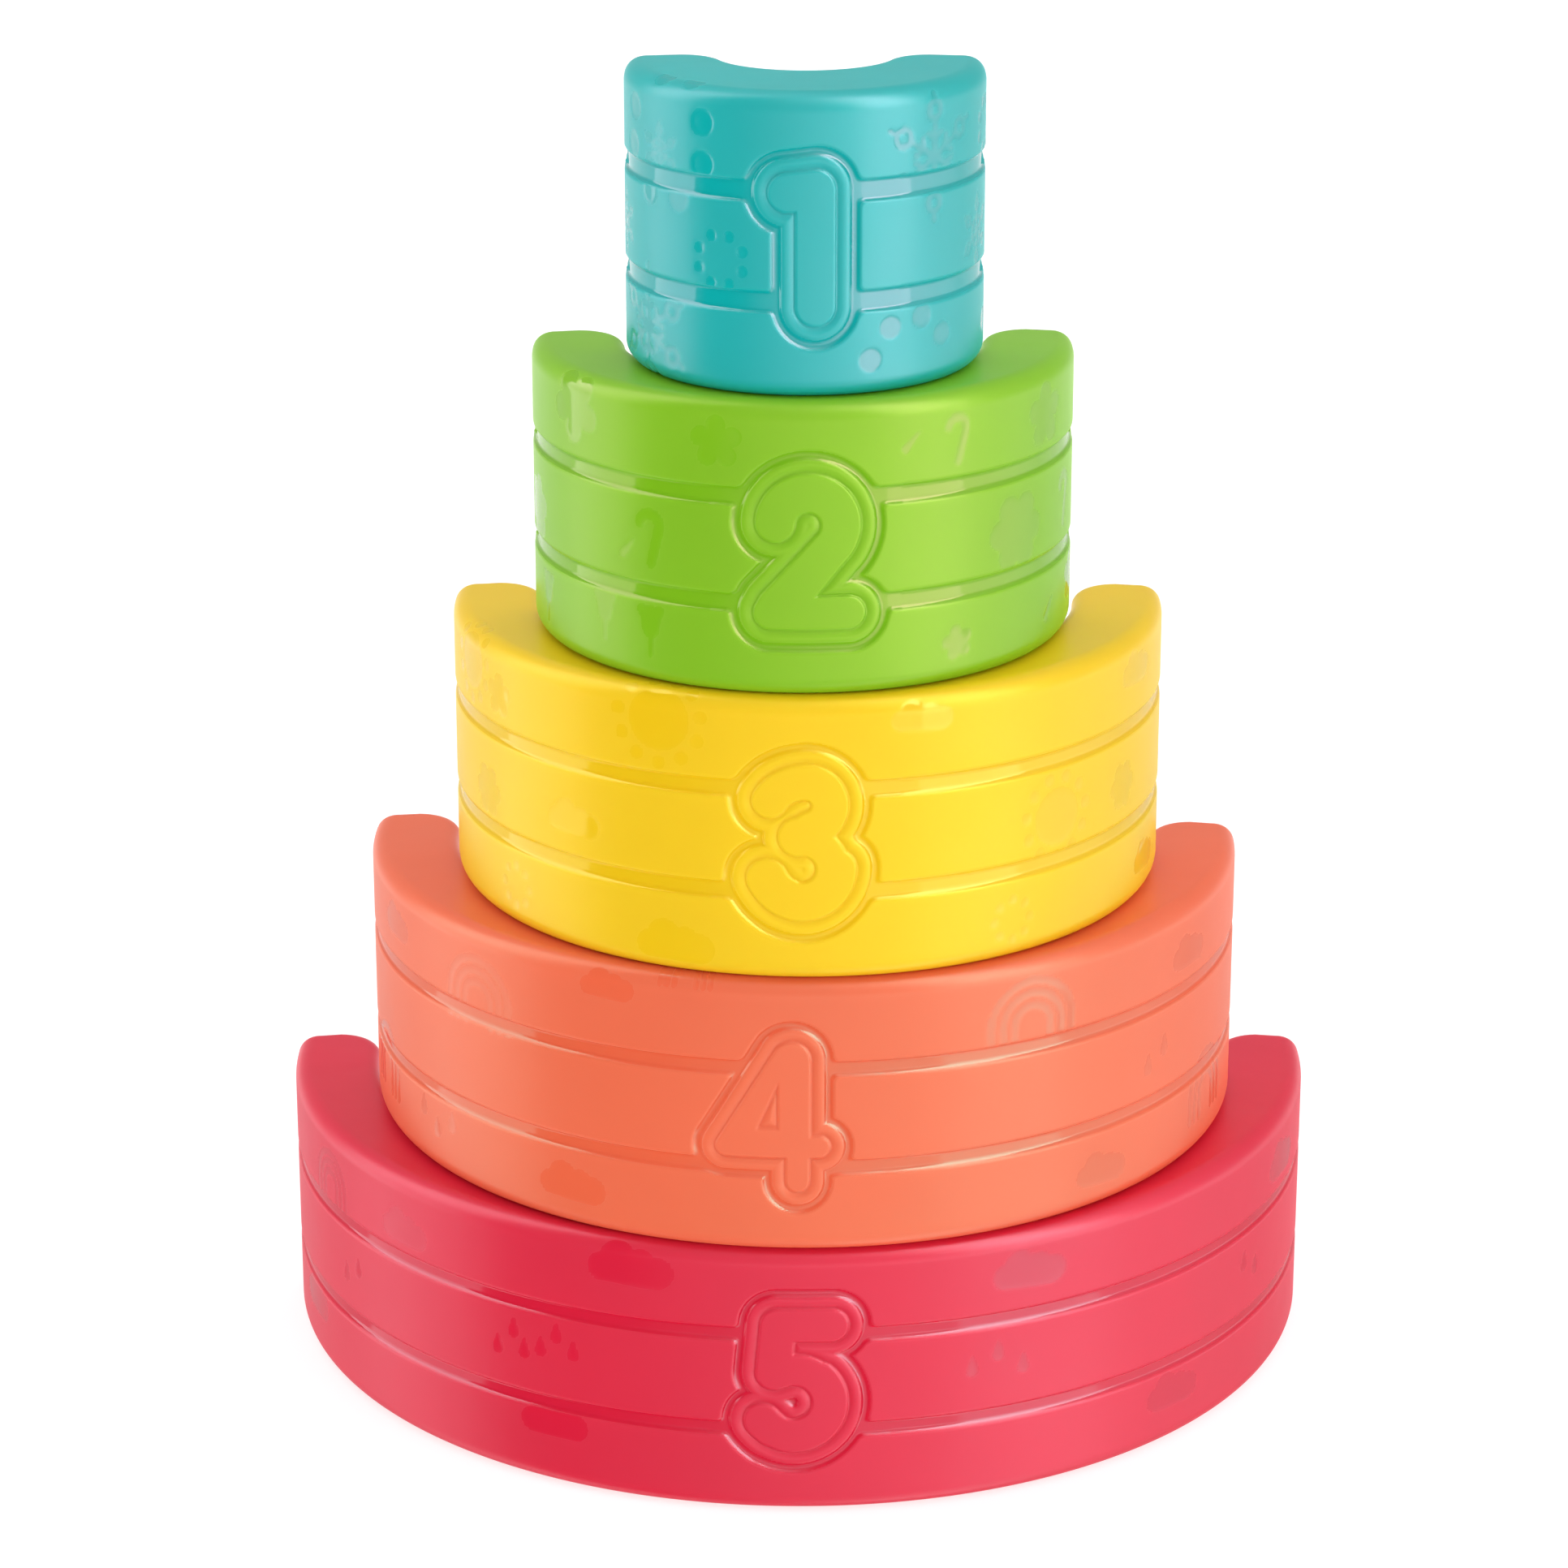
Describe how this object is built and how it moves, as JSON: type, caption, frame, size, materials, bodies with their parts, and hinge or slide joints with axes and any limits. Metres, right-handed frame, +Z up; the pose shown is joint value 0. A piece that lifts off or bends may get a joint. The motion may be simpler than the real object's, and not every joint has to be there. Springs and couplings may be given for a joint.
{
  "type": "nesting arch stacking toy",
  "caption": "Rainbow of hollow plastic arches in falling sizes, each numbered on its front, stacked lying down as a tower; the arches lift off one by one and nest inside each other.",
  "frame": {"origin": "middle of the tower's bounding box, on the surface that it stands on", "axes": "+Z up the tower, -Y the numbered front, +X to the right seen from the front"},
  "size_m": [0.236, 0.126, 0.31],
  "materials": {
    "plastic_1": "teal, satin, polished in the bands, number and pictures",
    "plastic_2": "lime green, satin, polished in the bands, number and pictures",
    "plastic_3": "yellow, satin, polished in the bands, number and pictures",
    "plastic_4": "orange, satin, polished in the bands, number and pictures",
    "plastic_5": "red, satin, polished in the bands, number and pictures"
  },
  "bodies": {
    "arch_5": {"arch_5": "plastic_5"},
    "arch_4": {"arch_4": "plastic_4"},
    "arch_3": {"arch_3": "plastic_3"},
    "arch_2": {"arch_2": "plastic_2"},
    "arch_1": {"arch_1": "plastic_1"}
  },
  "joints": [
    {"name": "arch_4_lift", "type": "slide", "parent": "arch_5", "child": "arch_4", "axis": [0, 0, 1], "range_m": [0, 0.08]},
    {"name": "arch_3_lift", "type": "slide", "parent": "arch_4", "child": "arch_3", "axis": [0, 0, 1], "range_m": [0, 0.08]},
    {"name": "arch_2_lift", "type": "slide", "parent": "arch_3", "child": "arch_2", "axis": [0, 0, 1], "range_m": [0, 0.08]},
    {"name": "arch_1_lift", "type": "slide", "parent": "arch_2", "child": "arch_1", "axis": [0, 0, 1], "range_m": [0, 0.08]}
  ]
}
